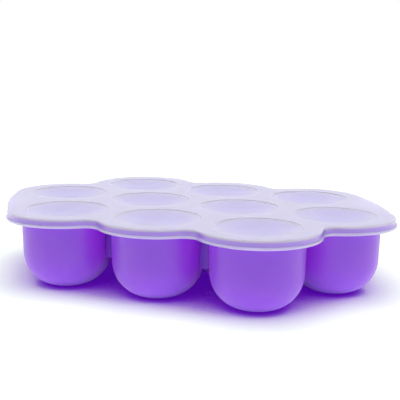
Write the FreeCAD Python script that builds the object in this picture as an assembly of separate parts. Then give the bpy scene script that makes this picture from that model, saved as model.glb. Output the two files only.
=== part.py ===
import FreeCAD, Part

import math
import os

from FreeCAD import Vector

# Baby food freezer tray: one soft silicone moulding with ten round cups in
# three close-packed rows, and one stiff clip-on lid with a dished panel over
# each cup. Millimetres, +Z up, origin on the floor under the tray's middle,
# +X along the rows. The front row faces -Y.

# ---------------------------------------------------------------- dimensions

# Cup layout
CUPS_IN_ROWS = (3, 4, 3)    # front, middle and back row
CUP_MOUTH_R = 27.7          # outside of a cup, level with the deck's underside
CUP_GAP = 6.6               # between neighbouring cups at that level

# Tray moulding
DECK_TOP = 45.7             # height of the deck's upper face above the floor
DECK_T = 2.4                # thickness of the deck
FLANGE_W = 6.8              # how far the deck reaches past the outer cups
FLANGE_ROUND = 0.8          # edge round of the deck
NOTCH_R = 10.5              # inward curve of the deck's edge between two cups
CUP_WALL = 2.0
CUP_DRAFT = 1.6             # degrees, so that frozen food slides out
CUP_FOOT_R = 6.2            # flat that the cup stands on
SHOULDER_R = 2.4            # fillet between a cup and the deck's underside
MOUTH_ROUND = 1.0           # round of a cup's inner rim
RIB_T = 2.4                 # webs that tie neighbouring cups together
RIB_FLOOR = 19.0            # height of the webs' lower edge above the floor

# Lid
LID_T = 1.3                 # panel thickness
SKIRT_T = 1.1
SKIRT_GAP = 0.6             # between the deck's edge and the skirt
SKIRT_DROP = 4.1            # how far the skirt reaches below the deck's top
BEAD_GAP = 0.3              # between the deck's edge and the snap bead
LIP_W = 0.8                 # how far the lip stands out from the skirt
LIP_H = 1.7
LIP_ROUND = 0.5
LID_EDGE_ROUND = 0.9
DISH_DEPTH = 2.4            # depth of the dish over each cup, at its middle
DISH_STEP = 0.6             # drop at its rim, down to where its hollow floor begins
DISH_GAP = 0.9              # between a dish and the cup's rounded rim, level with the deck
DISH_ROUND = 0.4
TAB_L = 56.0                # lift tab over a side notch, from lobe to lobe
TAB_PROUD = 2.0             # how far its bowed edge stands out past the lobes
TAB_ROUND = 0.4

# ------------------------------------------------------------- derived values

PITCH = 2 * CUP_MOUTH_R + CUP_GAP
ROW_STEP = PITCH * math.sqrt(3) / 2
DECK_UNDER = DECK_TOP - DECK_T
LOBE_R = CUP_MOUTH_R + FLANGE_W

DRAFT = math.radians(CUP_DRAFT)
# The wall's line carried down to the floor, and the round that meets both it
# and the flat foot.
WALL_R_AT_FLOOR = CUP_MOUTH_R - DECK_UNDER * math.tan(DRAFT)
BASE_ROUND = (WALL_R_AT_FLOOR - CUP_FOOT_R) * math.cos(DRAFT) / (1 - math.sin(DRAFT))

LID_TOP = DECK_TOP + LID_T
LIP_BOTTOM = DECK_TOP - SKIRT_DROP
SKIRT_OFFSET = SKIRT_GAP + SKIRT_T
LIP_OFFSET = SKIRT_OFFSET + LIP_W

Z = Vector(0, 0, 1)


def cup_centres():
    """Rows of cup axes, front to back, each row centred on the tray."""
    rows = []
    middle = (len(CUPS_IN_ROWS) - 1) / 2
    for row, count in enumerate(CUPS_IN_ROWS):
        y = (row - middle) * ROW_STEP
        rows.append([Vector((i - (count - 1) / 2) * PITCH, y, 0) for i in range(count)])
    return rows


ROWS = cup_centres()
CUPS = [centre for row in ROWS for centre in row]


def neighbours():
    """Each pair of cups that stand side by side, once."""
    pairs = []
    for i, a in enumerate(CUPS):
        for b in CUPS[i + 1:]:
            if a.distanceToPoint(b) < PITCH * 1.1:
                pairs.append((a, b))
    return pairs


def rim_cups():
    """The outer cups in order, counter-clockwise from the front left."""
    front, back = ROWS[0], ROWS[-1]
    right = [row[-1] for row in ROWS[1:-1]]
    left = [row[0] for row in ROWS[1:-1]]
    return front + right + back[::-1] + left[::-1]


# ------------------------------------------------------------------- helpers

def line(a, b):
    return Part.LineSegment(a, b).toShape()


def arc(centre, radius, start, end):
    """Arc in the XZ plane about centre; angles in radians from +X towards +Z."""
    def at(angle):
        return centre + Vector(radius * math.cos(angle), 0, radius * math.sin(angle))
    return Part.Arc(at(start), at((start + end) / 2), at(end)).toShape()


def turned(edges):
    """Solid of revolution about Z of a closed outline in the XZ plane."""
    return Part.Face(Part.Wire(edges)).revolve(Vector(0, 0, 0), Z, 360)


def placed(shape, centre):
    copy = shape.copy()
    copy.translate(centre)
    return copy


def scalloped_prism(offset, z_low, z_high):
    """Plate with a lobe round each outer cup; offset grows its edge outwards."""
    lobe_r = LOBE_R + offset
    notch_r = NOTCH_R - offset
    cups = rim_cups()
    centres = []
    for a, b in zip(cups, cups[1:] + cups[:1]):
        along = b - a
        outward = Vector(along.y, -along.x, 0).normalize()
        reach = math.sqrt((lobe_r + notch_r) ** 2 - (along.Length / 2) ** 2)
        centres.append((a + b) / 2 + outward * reach)
    edges = []
    for i, cup in enumerate(cups):
        before, after = centres[i - 1], centres[i]
        start = cup + (before - cup).normalize() * lobe_r
        end = cup + (after - cup).normalize() * lobe_r
        outward = ((start - cup) + (end - cup)).normalize()
        edges.append(Part.Arc(start, cup + outward * lobe_r, end).toShape())
        following = cups[(i + 1) % len(cups)]
        notch_end = following + (after - following).normalize() * lobe_r
        inward = ((end - after) + (notch_end - after)).normalize()
        edges.append(Part.Arc(end, after + inward * notch_r, notch_end).toShape())
    face = Part.Face(Part.Wire(edges))
    face.translate(Z * z_low)
    return face.extrude(Z * (z_high - z_low))


def edges_at(shape, z):
    """Edges that lie wholly at height z."""
    found = []
    for edge in shape.Edges:
        box = edge.BoundBox
        if abs(box.ZMin - z) < 1e-4 and abs(box.ZMax - z) < 1e-4:
            found.append(edge)
    return found


def circles_at(shape, z):
    """Full circles at height z."""
    return [edge for edge in edges_at(shape, z) if edge.isClosed()]


# ---------------------------------------------------------------------- tray

def cup_outside():
    """Drafted cup with a round base, and a fillet that meets the deck."""
    foot = Vector(CUP_FOOT_R, 0, 0)
    base_centre = Vector(CUP_FOOT_R, 0, BASE_ROUND)
    base = arc(base_centre, BASE_ROUND, -math.pi / 2, -DRAFT)
    wall_start = base.Vertexes[-1].Point
    shoulder_z = DECK_UNDER - SHOULDER_R
    wall_r = WALL_R_AT_FLOOR + shoulder_z * math.tan(DRAFT)
    shoulder_centre = Vector(wall_r + SHOULDER_R / math.cos(DRAFT), 0, shoulder_z)
    shoulder = arc(shoulder_centre, SHOULDER_R, math.pi - DRAFT, math.pi / 2)
    wall_end = shoulder.Vertexes[0].Point
    brim = shoulder.Vertexes[-1].Point
    inside_deck = DECK_UNDER + DECK_T / 2
    brim_top = Vector(brim.x, 0, inside_deck)
    axis_top = Vector(0, 0, inside_deck)
    return turned([
        line(Vector(0, 0, 0), foot),
        base,
        line(wall_start, wall_end),
        shoulder,
        line(brim, brim_top),
        line(brim_top, axis_top),
        line(axis_top, Vector(0, 0, 0)),
    ])


def cup_hollow():
    """The outside moved in by the wall, open through the deck."""
    inner_round = BASE_ROUND - CUP_WALL
    floor_centre = Vector(0, 0, CUP_WALL)
    base = arc(Vector(CUP_FOOT_R, 0, BASE_ROUND), inner_round, -math.pi / 2, -DRAFT)
    mouth = Vector(hollow_radius(DECK_TOP), 0, DECK_TOP)
    axis_top = Vector(0, 0, DECK_TOP)
    return turned([
        line(floor_centre, base.Vertexes[0].Point),
        base,
        line(base.Vertexes[-1].Point, mouth),
        line(mouth, axis_top),
        line(axis_top, floor_centre),
    ])


def hollow_radius(z):
    """Inner radius of a cup's drafted wall at height z."""
    return WALL_R_AT_FLOOR + z * math.tan(DRAFT) - CUP_WALL / math.cos(DRAFT)


def web(a, b):
    """Web between two cups, from axis to axis, with a rounded lower edge."""
    along = b - a
    side = Vector(-along.y, along.x, 0).normalize() * (RIB_T / 2)
    top = Z * (DECK_UNDER + DECK_T / 2)
    shoulder = Z * (RIB_FLOOR + RIB_T / 2)
    outline = Part.Wire([
        line(a + side + top, a + side + shoulder),
        Part.Arc(a + side + shoulder, a + Z * RIB_FLOOR, a - side + shoulder).toShape(),
        line(a - side + shoulder, a - side + top),
        line(a - side + top, a + side + top),
    ])
    return Part.Face(outline).extrude(along)


def make_tray():
    deck = scalloped_prism(0, DECK_UNDER, DECK_TOP)
    deck = deck.makeFillet(FLANGE_ROUND, edges_at(deck, DECK_TOP) + edges_at(deck, DECK_UNDER))
    cup = cup_outside()
    hollow = cup_hollow()
    cups = [placed(cup, centre) for centre in CUPS]
    webs = [web(a, b) for a, b in neighbours()]
    tray = deck.multiFuse(cups + webs)
    tray = tray.cut(Part.makeCompound([placed(hollow, centre) for centre in CUPS]))
    tray = tray.removeSplitter().Solids[0]
    return tray.makeFillet(MOUTH_ROUND, circles_at(tray, DECK_TOP))


# ----------------------------------------------------------------------- lid

def lid_shell():
    """Panel and skirt, with a lip outside and a snap bead inside."""
    skirt = scalloped_prism(SKIRT_OFFSET, LIP_BOTTOM, LID_TOP)
    skirt = skirt.makeFillet(LID_EDGE_ROUND, edges_at(skirt, LID_TOP))
    lip_top = LIP_BOTTOM + LIP_H
    lip = scalloped_prism(LIP_OFFSET, LIP_BOTTOM, lip_top)
    lip = lip.makeFillet(LIP_ROUND, edges_at(lip, LIP_BOTTOM) + edges_at(lip, lip_top))
    room = scalloped_prism(SKIRT_GAP, DECK_UNDER, DECK_TOP)
    mouth = scalloped_prism(BEAD_GAP, LIP_BOTTOM, DECK_UNDER)
    return skirt.fuse(lip).cut(room.fuse(mouth))


def lift_tab(a, b):
    """Flat tab that bridges the notch between two lobes, with a bowed outer edge."""
    along = (b - a).normalize()
    outward = Vector(along.y, -along.x, 0)
    middle = (a + b) / 2
    lobe_r = LOBE_R + SKIRT_OFFSET
    to_end = along * (TAB_L / 2)
    from_lobe = (a.distanceToPoint(b) - TAB_L) / 2
    reach = math.sqrt(lobe_r ** 2 - from_lobe ** 2)
    root_a, root_b = middle - to_end, middle + to_end
    end_a, end_b = root_a + outward * reach, root_b + outward * reach
    crown = middle + outward * (lobe_r + TAB_PROUD)
    outline = Part.Wire([
        line(root_a, end_a),
        Part.Arc(end_a, crown, end_b).toShape(),
        line(end_b, root_b),
        line(root_b, root_a),
    ])
    tab = Part.Face(outline).extrude(Z * LID_T)
    bowed = []
    for edge in edges_at(tab, LID_T) + edges_at(tab, 0):
        if (edge.CenterOfMass - middle).dot(outward) > reach:
            bowed.append(edge)
    return placed(tab.makeFillet(TAB_ROUND, bowed), Z * DECK_TOP)


def sunk(top_r, top_z, floor_r, floor_centre):
    """Shallow plug with a wall at 45 degrees and a floor that is part of a large ball."""
    wall = Part.makeCone(top_r - DISH_DEPTH, top_r, DISH_DEPTH)
    wall.translate(Z * (top_z - DISH_DEPTH))
    return wall.common(Part.makeSphere(floor_r, floor_centre))


def dish():
    """The dish pressed into the lid over a cup: the plug that it adds below the
    panel and the hollow above it, everywhere LID_T apart."""
    under_r = hollow_radius(DECK_TOP) + MOUTH_ROUND - DISH_GAP
    rim_r = under_r - LID_T * math.tan(math.pi / 8)
    sag = DISH_DEPTH - DISH_STEP
    floor_r = ((rim_r - DISH_STEP) ** 2 + sag ** 2) / (2 * sag)
    floor_centre = Z * (LID_TOP - DISH_DEPTH + floor_r)
    plug = sunk(under_r, DECK_TOP, floor_r + LID_T, floor_centre)
    hollow = sunk(rim_r, LID_TOP, floor_r, floor_centre)
    return plug, hollow


def dish_rims(lid):
    """A dish's edges to round: its rim, the foot of its wall and the one below that."""
    rims = circles_at(lid, LID_TOP) + circles_at(lid, LID_TOP - DISH_STEP)
    for edge in lid.Edges:
        z = edge.BoundBox.ZMin
        if edge.isClosed() and DECK_TOP - DISH_STEP < z < DECK_TOP - DISH_STEP / 2:
            rims.append(edge)
    return rims


def make_lid():
    cups = rim_cups()
    left, front_left = cups[-1], cups[0]
    tabs = [lift_tab(left, front_left), lift_tab(left * -1, front_left * -1)]
    panel = lid_shell().multiFuse(tabs).removeSplitter()
    plug, hollow = dish()
    lid = panel.fuse([placed(plug, centre) for centre in CUPS])
    lid = lid.cut(Part.makeCompound([placed(hollow, centre) for centre in CUPS]))
    lid = lid.removeSplitter().Solids[0]
    return lid.makeFillet(DISH_ROUND, dish_rims(lid))


# -------------------------------------------------------------------- output

def main():
    os.makedirs("parts", exist_ok=True)
    for name, make in (("tray", make_tray), ("lid", make_lid)):
        shape = make()
        shape.exportStep("parts/" + name + ".step")
        box = shape.BoundBox
        size = "%.1f x %.1f x %.1f mm" % (box.XLength, box.YLength, box.ZLength)
        print(name, size, "%.1f cm3" % (shape.Volume / 1000), "valid", shape.isValid())


main()
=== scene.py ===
"""Baby food freezer tray: the finish of its silicone cups and of its frosted clip-on lid.

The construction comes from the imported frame. This file gives each moulding its material and puts
the object on a plain studio floor. It is laid out as an add-on and is run as a script.
"""

import math

import bpy
from bpy.props import FloatProperty, FloatVectorProperty, PointerProperty
from mathutils import Matrix, Vector


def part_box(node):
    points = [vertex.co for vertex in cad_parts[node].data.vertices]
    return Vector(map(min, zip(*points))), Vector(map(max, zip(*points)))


bl_info = {
    "name": "Freezer tray finish",
    "version": (1, 0, 0),
    "blender": (4, 5, 0),
    "location": "View3D > Sidebar > Freezer tray",
    "description": "Finishes the silicone cup tray and its frosted lid, and lights them",
    "category": "Object",
}

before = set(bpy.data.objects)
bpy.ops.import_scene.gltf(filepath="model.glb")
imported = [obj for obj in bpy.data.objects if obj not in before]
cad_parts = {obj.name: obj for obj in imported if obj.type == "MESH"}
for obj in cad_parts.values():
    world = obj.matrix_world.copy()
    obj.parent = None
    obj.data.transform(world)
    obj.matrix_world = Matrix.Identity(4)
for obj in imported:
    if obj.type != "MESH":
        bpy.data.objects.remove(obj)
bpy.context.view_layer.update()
MM = 0.001
WHITE = (1, 1, 1)
BLACK = (0, 0, 0)

# ------------------------------------------------------- where a finish lies

# Webs of the tray, where shade is painted. They lie on lines through cup centres, in three
# directions.
CUP_PITCH = 62 * MM
ROW_STEP = CUP_PITCH * math.sqrt(3) / 2
WEB_LINES = (                           # turn from +X in degrees, nearest line to the middle
    (0, 0),
    (60, ROW_STEP / 2),
    (-60, ROW_STEP / 2),
)

# Each pair from here on says where a finish, a painted shade or a painted light is absent and
# where it is whole, and it fades in between the two.
WEB_OFF_LINE = (1.6 * MM, 1.4 * MM)
WEB_ACROSS = (0.8, 0.9)                 # how squarely a face looks across the line

# Painted bounce light in the nooks of the tray
PAINTED_NOOK_LIGHT_REACH = 40 * MM
PAINTED_NOOK_LIGHT_OPENNESS = (0.9, 0.2)

# Dishes (painted shade), brim (painted highlight) and skirt of the lid, by height and by how far a
# face looks up
LID_FOOT, LID_TOP = (corner[2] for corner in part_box("lid"))
DISH_HEIGHT = (LID_TOP - 0.3 * MM, LID_TOP - 2.3 * MM)
DISH_UP = (0.88, 0.92)
PAINTED_HIGHLIGHT_HEIGHT = (LID_TOP - 1.9 * MM, LID_TOP - 1.1 * MM)
PAINTED_HIGHLIGHT_UP = (0.99, 0.95)
SKIRT_FROM_BELOW = (LID_FOOT + 1.6 * MM, LID_FOOT + 1.9 * MM)
SKIRT_FROM_ABOVE = (LID_TOP - 0.6 * MM, LID_TOP - 1.8 * MM)
SKIRT_UP = (0.9, 0.4)

# Floor round and under the tray, with painted shade, painted glow and painted bounce light
SHADE_REACH = 50 * MM
PAINTED_UNDER_SHADE_OPENNESS = (0.44, 0.22)
BOUNCE_OPENNESS = (0.07, 0.34)

# Light of the surroundings, by Y and by Z of the direction
BESIDE_OR_BEHIND = (-0.9, -0.1)
OVERHEAD = (0.0, 0.3)

# ------------------------------------------------------------ fine structure

NOISE_SPREAD = (0.3, 0.7)       # where nearly all of a noise's values lie
ROUGHNESS_SPREAD = 0.05
FROST_SPREAD = 0.04
SWAY_HEIGHT = 0.12 * MM
GRAIN_HEIGHT = 0.012 * MM
FLOW_HEIGHT = 0.10 * MM
SHADE_SAMPLES = 8

# --------------------------------------------------------------------- stage

FLOOR_RADIUS = 0.45
LAMP_SIZE = 1.7
LAMP_PLACE = (0.08, -0.09, 1.35)
SENSOR_WIDTH_MM = 36


# ------------------------------------------------------------------ settings

class TraySettings(bpy.types.PropertyGroup):
    """The silicone moulding."""
    colour: FloatVectorProperty(
        name="Silicone", description="Colour of the silicone",
        subtype="COLOR", default=(0.336, 0.086, 0.82), min=0, max=1)
    deep_colour: FloatVectorProperty(
        name="Deeper silicone", description="Colour where the pigment lies thicker",
        subtype="COLOR", default=(0.320, 0.080, 0.795), min=0, max=1)
    # painted bounce light: nooks lighter and more saturated violet, in place of light passed
    # between facing walls
    painted_nook_light_colour: FloatVectorProperty(
        name="Silicone in nooks",
        description="Colour where walls face each other and pass light between them",
        subtype="COLOR", default=(0.58, 0.08, 1.0), min=0, max=1)
    # painted shade: the webs darker violet, where they lie in shade between the cups
    painted_web_shade_colour: FloatVectorProperty(
        name="Silicone of the webs",
        description="Colour of the webs, with a dark gap behind their thin wall",
        subtype="COLOR", default=(0.235, 0.008, 0.60), min=0, max=1)
    roughness: FloatProperty(
        name="Roughness", description="Satin finish of the mould",
        subtype="FACTOR", default=0.36, min=0, max=1)
    grain: FloatProperty(
        name="Grain", description="Size of the mould's fine texture",
        subtype="DISTANCE", unit="LENGTH", default=0.45 * MM)


class LidSettings(bpy.types.PropertyGroup):
    """The stiff translucent lid."""
    colour: FloatVectorProperty(
        name="Plastic", description="Colour of the frosted plastic",
        subtype="COLOR", default=(0.80, 0.74, 1.0), min=0, max=1)
    # painted shade: the dishes darker violet, where the shaded cup beneath shows through
    painted_dish_shade_colour: FloatVectorProperty(
        name="Plastic of the dishes",
        description="The same at the bottom of a dish, where the cup shows through",
        subtype="COLOR", default=(0.575, 0.495, 0.98), min=0, max=1)
    skirt_colour: FloatVectorProperty(
        name="Plastic of the skirt",
        description="The same on the skirt, which the deck's edge tints from behind",
        subtype="COLOR", default=(0.50, 0.24, 1.0), min=0, max=1)
    # painted highlight: near-white on the rounds of the edge and the steps of the dishes
    painted_brim_highlight_colour: FloatVectorProperty(
        name="Plastic of the brim",
        description="The same on the rounds of the edge and the steps of the dishes",
        subtype="COLOR", default=(0.95, 0.88, 1.0), min=0, max=1)
    clearness: FloatProperty(
        name="Clearness", description="Share of the light that passes the plastic",
        subtype="FACTOR", default=0.52, min=0, max=1)
    frost: FloatProperty(
        name="Frost", description="How much the plastic blurs what lies behind it",
        subtype="FACTOR", default=0.42, min=0, max=1)


class StageSettings(bpy.types.PropertyGroup):
    """Camera, floor and light."""
    camera_place: FloatVectorProperty(
        name="Camera", description="Where the camera stands",
        subtype="TRANSLATION", unit="LENGTH", default=(0.2039, -0.4835, 0.1419))
    heading: FloatProperty(
        name="Heading", description="Turn of the view to the left of +Y",
        subtype="ANGLE", default=math.radians(22.42))
    tilt: FloatProperty(
        name="Tilt", description="How far the view looks down",
        subtype="ANGLE", default=math.radians(10.09))
    roll: FloatProperty(
        name="Roll", description="Turn of the picture about the view",
        subtype="ANGLE", default=math.radians(0.75))
    lens: FloatProperty(
        name="Lens", description="Focal length in millimetres on a 36 mm sensor",
        unit="CAMERA", default=74.04)
    surround: FloatProperty(
        name="Surround", description="Light from the white surroundings", default=0.31)
    front_tone: FloatProperty(
        name="Front",
        description="How bright the surroundings are low down in front of the object",
        subtype="FACTOR", default=0.08, min=0, max=1)
    sheen: FloatVectorProperty(
        name="Sheen", description="Colour of the surroundings in reflections",
        subtype="COLOR", default=(0.99, 0.99, 1.17), min=0, max=4)
    key_power: FloatProperty(
        name="Key", description="Power of the soft lamp overhead in watts",
        unit="POWER", default=18.6)
    floor_tone: FloatVectorProperty(
        name="Floor tone",
        description="How the camera sees the floor: white in the light, lilac in shade",
        subtype="COLOR", default=(1.20, 1.32, 1.12), min=0, max=4)
    # painted shade: the floor deep violet beneath the tray, where little of it is open
    painted_under_shade_tone: FloatVectorProperty(
        name="Under tone", description="How the camera sees the floor beneath the tray",
        subtype="COLOR", default=(0.40, 0.06, 0.50), min=0, max=4)
    glow: FloatVectorProperty(
        name="Glow", description="Light that the silicone lets down on the floor beneath it",
        subtype="COLOR", default=(0.052, 0.001, 0.262), min=0, max=1)
    bounce: FloatProperty(
        name="Bounce", description="Light that the open floor throws up beyond its own share",
        default=0.38)


# --------------------------------------------------------------- node helpers

# The owner of the nodes is a material or the world.

def new_material(name):
    """Material with its Principled shader."""
    material = bpy.data.materials.new(name)
    material.use_nodes = True
    return material, material.node_tree.nodes["Principled BSDF"]


def add_node(owner, kind, **values):
    """Node with its settings and unlinked inputs given by name."""
    node = owner.node_tree.nodes.new(kind)
    for key, value in values.items():
        if key in node.inputs:
            node.inputs[key].default_value = value
        else:
            setattr(node, key, value)
    return node


def join(owner, output, to):
    owner.node_tree.links.new(output, to)


def give(owner, to, value):
    """Links an input to a socket, or sets it to a number or a colour."""
    if isinstance(value, bpy.types.NodeSocket):
        join(owner, value, to)
    elif to.type == "RGBA":
        to.default_value = (*value, 1)
    else:
        to.default_value = value


def set_inputs(shader, values):
    for name, value in values.items():
        shader.inputs[name].default_value = value


def calculate(owner, operation, *terms):
    """Result of a Math node over sockets and numbers."""
    node = add_node(owner, "ShaderNodeMath", operation=operation)
    for to, term in zip(node.inputs, terms):
        give(owner, to, term)
    return node.outputs["Value"]


def reach_along(owner, vector, direction):
    """How far a vector reaches in a fixed direction."""
    node = add_node(owner, "ShaderNodeVectorMath", operation="DOT_PRODUCT")
    join(owner, vector, node.inputs[0])
    node.inputs[1].default_value = direction
    return node.outputs["Value"]


def parts_of(owner, vector):
    """X, Y and Z of a vector, by name."""
    node = add_node(owner, "ShaderNodeSeparateXYZ")
    join(owner, vector, node.inputs["Vector"])
    return node.outputs


def ramp(owner, value, start, end, low=0, high=1):
    """Goes from low to high as the value goes from start to end."""
    node = add_node(owner, "ShaderNodeMapRange",
                    **{"From Min": start, "From Max": end, "To Min": low, "To Max": high})
    join(owner, value, node.inputs["Value"])
    return node.outputs["Result"]


def mask(owner, *limits):
    """Product of the ramps of (value, (where it is absent, where it is whole))."""
    result = None
    for value, (absent, whole) in limits:
        part = ramp(owner, value, absent, whole)
        result = part if result is None else calculate(owner, "MULTIPLY", result, part)
    return result


def blend_numbers(owner, factor, low, high):
    node = add_node(owner, "ShaderNodeMix")
    give(owner, node.inputs["A"], low)
    give(owner, node.inputs["B"], high)
    join(owner, factor, node.inputs["Factor"])
    return node.outputs["Result"]


def blend_colours(owner, factor, low, high):
    node = add_node(owner, "ShaderNodeMix", data_type="RGBA")
    ends = [socket for socket in node.inputs if socket.type == "RGBA"]
    for end, value in zip(ends, (low, high)):
        give(owner, end, value)
    join(owner, factor, node.inputs["Factor"])
    return next(socket for socket in node.outputs if socket.type == "RGBA")


def noise(owner, place, size, detail=2):
    """Noise in object space whose blobs are about size metres across."""
    node = add_node(owner, "ShaderNodeTexNoise", Scale=1 / size, Detail=detail)
    join(owner, place.outputs["Object"], node.inputs["Vector"])
    return node.outputs["Fac"]


def vary(owner, pattern, low, high):
    """A noise spread out from low to high."""
    return ramp(owner, pattern, *NOISE_SPREAD, low, high)


def openness(owner, reach, **values):
    """1 in the open, and down to 0 where walls within reach close in on the surface."""
    node = add_node(owner, "ShaderNodeAmbientOcclusion", samples=SHADE_SAMPLES, Distance=reach,
                    **values)
    return node.outputs["AO"]


def emboss(owner, shader, heights):
    """Bumps the shader by (pattern, height in metres) pairs, one upon the other."""
    normal = None
    for pattern, height in heights:
        bump = add_node(owner, "ShaderNodeBump", Strength=1, Distance=height)
        join(owner, pattern, bump.inputs["Height"])
        if normal is not None:
            join(owner, normal, bump.inputs["Normal"])
        normal = bump.outputs["Normal"]
    join(owner, normal, shader.inputs["Normal"])


def dress(node_name, material):
    """Puts one material on a CAD node."""
    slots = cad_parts[node_name].material_slots
    for slot in slots:
        slot.material = material
    if not slots:
        raise RuntimeError(node_name + " has no material slot")


# ----------------------------------------------------------------- materials

def painted_web_shade_mask(material, place):
    """1 on the webs, where shade is painted; they lie on lines through cup centres and face across
    them.
    """
    webs = None
    for turn, nearest in WEB_LINES:
        across = (-math.sin(math.radians(turn)), math.cos(math.radians(turn)), 0)
        from_middle = reach_along(material, place.outputs["Object"], across)
        from_nearest = calculate(material, "ADD", from_middle, nearest)
        off_line = calculate(material, "PINGPONG", from_nearest, ROW_STEP / 2)
        looks_across = calculate(material, "ABSOLUTE",
                                 reach_along(material, place.outputs["Normal"], across))
        found = mask(material, (off_line, WEB_OFF_LINE), (looks_across, WEB_ACROSS))
        webs = found if webs is None else calculate(material, "MAXIMUM", webs, found)
    return webs


def silicone(settings):
    """Satin moulded silicone: light sinks into it, and it has a fine even grain. Its nooks carry
    painted bounce light and its webs painted shade.
    """
    material, shader = new_material("tray_silicone")
    place = add_node(material, "ShaderNodeTexCoord")
    pigment = vary(material, noise(material, place, size=38 * MM, detail=3), 0, 1)
    colour = blend_colours(material, pigment, settings.deep_colour, settings.colour)
    # painted bounce light, lighter and more saturated where its own walls close in; only its own
    # walls count, so that the lid and the floor leave its colour alone
    nooks = mask(material, (openness(material, PAINTED_NOOK_LIGHT_REACH, only_local=True), PAINTED_NOOK_LIGHT_OPENNESS))
    colour = blend_colours(material, nooks, colour, settings.painted_nook_light_colour)
    # painted shade on the webs
    colour = blend_colours(material, painted_web_shade_mask(material, place), colour, settings.painted_web_shade_colour)
    join(material, colour, shader.inputs["Base Color"])
    handling = noise(material, place, size=14 * MM, detail=4)
    join(material, vary(material, handling, settings.roughness - ROUGHNESS_SPREAD,
                        settings.roughness + ROUGHNESS_SPREAD), shader.inputs["Roughness"])
    emboss(material, shader, [(noise(material, place, size=17 * MM), SWAY_HEIGHT),
                              (noise(material, place, size=settings.grain), GRAIN_HEIGHT)])
    set_inputs(shader, {
        "IOR": 1.4,
        "Subsurface Weight": 1.0,
        "Subsurface Radius": (1.0, 0.2, 1.0),
        "Subsurface Scale": 3.5 * MM,
        "Coat Weight": 0.6,
        "Coat Roughness": 0.5,
    })
    return material


def frosted_plastic(settings):
    """Milky plastic that passes part of the light and blurs what lies behind it, with painted
    shade in its dishes and a painted highlight on its brim.
    """
    material, shader = new_material("lid_plastic")
    place = add_node(material, "ShaderNodeTexCoord")
    height = parts_of(material, place.outputs["Object"])["Z"]
    up = parts_of(material, place.outputs["Normal"])["Z"]
    dishes = mask(material, (height, DISH_HEIGHT), (up, DISH_UP))
    brim = mask(material, (height, PAINTED_HIGHLIGHT_HEIGHT), (up, PAINTED_HIGHLIGHT_UP))
    skirt = mask(material, (height, SKIRT_FROM_BELOW), (height, SKIRT_FROM_ABOVE), (up, SKIRT_UP))
    # painted shade in the dishes
    colour = blend_colours(material, dishes, settings.colour, settings.painted_dish_shade_colour)
    # painted highlight on the brim
    colour = blend_colours(material, brim, colour, settings.painted_brim_highlight_colour)
    colour = blend_colours(material, skirt, colour, settings.skirt_colour)
    join(material, colour, shader.inputs["Base Color"])
    rubbed = noise(material, place, size=11 * MM, detail=4)
    join(material, vary(material, rubbed, settings.frost - FROST_SPREAD,
                        settings.frost + FROST_SPREAD), shader.inputs["Roughness"])
    emboss(material, shader, [(noise(material, place, size=24 * MM), FLOW_HEIGHT)])
    set_inputs(shader, {
        "IOR": 1.65,
        "Transmission Weight": settings.clearness,
        "Subsurface Weight": 0.6,
        "Subsurface Radius": (1.0, 1.0, 1.0),
        "Subsurface Scale": 1.5 * MM,
        "Coat Weight": 1.0,
        "Coat Roughness": 0.24,
        "Coat IOR": 2.0,
    })
    return material


def studio_floor(settings):
    """Matt floor. The camera sees it white in the open and in painted shade, deep violet with a
    painted glow, under the tray, and the object gets a neutral bounce, a painted glow of the
    floor, from where it is open."""
    material, shader = new_material("studio_floor")
    seen = add_node(material, "ShaderNodeLightPath").outputs["Is Camera Ray"]
    open_share = openness(material, SHADE_REACH)
    under = mask(material, (open_share, PAINTED_UNDER_SHADE_OPENNESS))
    # painted shade and painted glow where little of the floor is open
    tone = blend_colours(material, under, settings.floor_tone, settings.painted_under_shade_tone)
    glow = blend_colours(material, under, BLACK, settings.glow)
    bounce = blend_colours(material, mask(material, (open_share, BOUNCE_OPENNESS)),
                           BLACK, [settings.bounce] * 3)
    join(material, blend_colours(material, seen, WHITE, tone), shader.inputs["Base Color"])
    join(material, blend_colours(material, seen, bounce, glow), shader.inputs["Emission Color"])
    set_inputs(shader, {"Emission Strength": 1.0, "Roughness": 1.0, "Specular IOR Level": 0.0})
    return material


# --------------------------------------------------------------------- stage

def lay_floor(settings):
    bpy.ops.object.select_all(action="DESELECT")
    bpy.ops.mesh.primitive_circle_add(vertices=128, radius=FLOOR_RADIUS, fill_type="NGON",
                                      location=(0, 0, 0))
    floor = bpy.context.object
    floor.name = "floor"
    floor.data.materials.append(studio_floor(settings))


def light_surroundings(scene, settings):
    """White all round to the camera and through plastic, and softer as light. Low down in front
    of the object it is darker, as light and in reflections."""
    world = bpy.data.worlds.new("white_surroundings")
    world.use_nodes = True
    ray = add_node(world, "ShaderNodeLightPath").outputs
    way = parts_of(world, add_node(world, "ShaderNodeTexCoord").outputs["Generated"])
    lit = calculate(world, "MAXIMUM", ramp(world, way["Y"], *BESIDE_OR_BEHIND),
                    ramp(world, way["Z"], *OVERHEAD))
    mirrored = ramp(world, lit, 0, 1, settings.front_tone, 1)
    strength = calculate(world, "MULTIPLY", mirrored, settings.surround)
    strength = blend_numbers(world, ray["Is Glossy Ray"], strength, mirrored)
    strength = blend_numbers(world, ray["Is Transmission Ray"], strength, 1.0)
    strength = blend_numbers(world, ray["Is Camera Ray"], strength, 1.0)
    background = world.node_tree.nodes["Background"]
    join(world, blend_colours(world, ray["Is Glossy Ray"], WHITE, settings.sheen),
         background.inputs["Color"])
    join(world, strength, background.inputs["Strength"])
    scene.world = world


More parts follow.
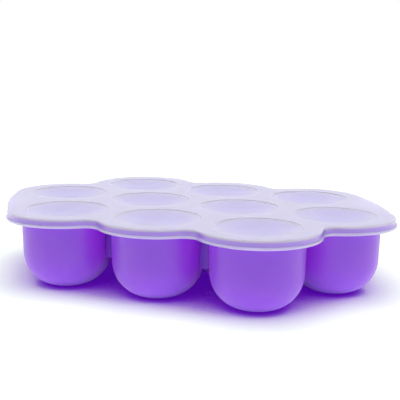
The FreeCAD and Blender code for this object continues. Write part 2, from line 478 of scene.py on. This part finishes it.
def hang_key(scene, settings):
    """Large soft lamp overhead."""
    lamp = bpy.data.lights.new("key", "AREA")
    lamp.shape = "SQUARE"
    lamp.size = LAMP_SIZE
    lamp.energy = settings.key_power
    holder = bpy.data.objects.new("key", lamp)
    scene.collection.objects.link(holder)
    holder.location = Vector(LAMP_PLACE)
    holder.visible_glossy = False
    holder.rotation_mode = "QUATERNION"
    holder.rotation_quaternion = (-holder.location).to_track_quat("-Z", "Y")


def set_camera(scene, settings):
    lens = bpy.data.cameras.new("camera")
    lens.sensor_width = SENSOR_WIDTH_MM
    lens.lens = settings.lens
    lens.clip_start = 0.01
    lens.clip_end = 100
    camera = bpy.data.objects.new("camera", lens)
    scene.collection.objects.link(camera)
    turn = Matrix.Rotation(settings.heading, 4, "Z")
    nod = Matrix.Rotation(math.pi / 2 - settings.tilt, 4, "X")
    lean = Matrix.Rotation(settings.roll, 4, "Z")
    camera.matrix_world = Matrix.Translation(settings.camera_place) @ turn @ nod @ lean
    scene.camera = camera


# ----------------------------------------------------------------- operators

class FREEZERTRAY_OT_cups(bpy.types.Operator):
    """Finishes the cups and their deck in satin silicone"""
    bl_idname = "freezertray.cups"
    bl_label = "Finish the cups"

    def execute(self, context):
        dress("tray", silicone(context.scene.freezertray_tray))
        return {"FINISHED"}


class FREEZERTRAY_OT_lid(bpy.types.Operator):
    """Finishes the lid in frosted plastic"""
    bl_idname = "freezertray.lid"
    bl_label = "Finish the lid"

    def execute(self, context):
        dress("lid", frosted_plastic(context.scene.freezertray_lid))
        return {"FINISHED"}


class FREEZERTRAY_OT_stage(bpy.types.Operator):
    """Lays the floor and sets the light and the camera"""
    bl_idname = "freezertray.stage"
    bl_label = "Set the stage"

    def execute(self, context):
        settings = context.scene.freezertray_stage
        lay_floor(settings)
        light_surroundings(context.scene, settings)
        hang_key(context.scene, settings)
        set_camera(context.scene, settings)
        context.scene.view_settings.view_transform = "Standard"
        return {"FINISHED"}


# --------------------------------------------------------------------- panel

class FREEZERTRAY_PT_panel(bpy.types.Panel):
    """Steps and settings of the freezer tray"""
    bl_idname = "FREEZERTRAY_PT_panel"
    bl_label = "Freezer tray"
    bl_space_type = "VIEW_3D"
    bl_region_type = "UI"
    bl_category = "Freezer tray"

    def draw(self, context):
        layout = self.layout
        for step in STEPS:
            layout.operator(step.bl_idname)
        for name, group in SETTINGS.items():
            settings = getattr(context.scene, name)
            box = layout.box()
            for prop in group.__annotations__:
                box.prop(settings, prop)


SETTINGS = {
    "freezertray_tray": TraySettings,
    "freezertray_lid": LidSettings,
    "freezertray_stage": StageSettings,
}
STEPS = (FREEZERTRAY_OT_cups, FREEZERTRAY_OT_lid, FREEZERTRAY_OT_stage)
CLASSES = (*SETTINGS.values(), *STEPS, FREEZERTRAY_PT_panel)


def register():
    for cls in CLASSES:
        bpy.utils.register_class(cls)
    for name, group in SETTINGS.items():
        setattr(bpy.types.Scene, name, PointerProperty(type=group))


def unregister():
    for name in SETTINGS:
        delattr(bpy.types.Scene, name)
    for cls in reversed(CLASSES):
        bpy.utils.unregister_class(cls)


def main():
    register()
    bpy.ops.freezertray.cups()
    bpy.ops.freezertray.lid()
    bpy.ops.freezertray.stage()


if __name__ == "__main__":
    main()
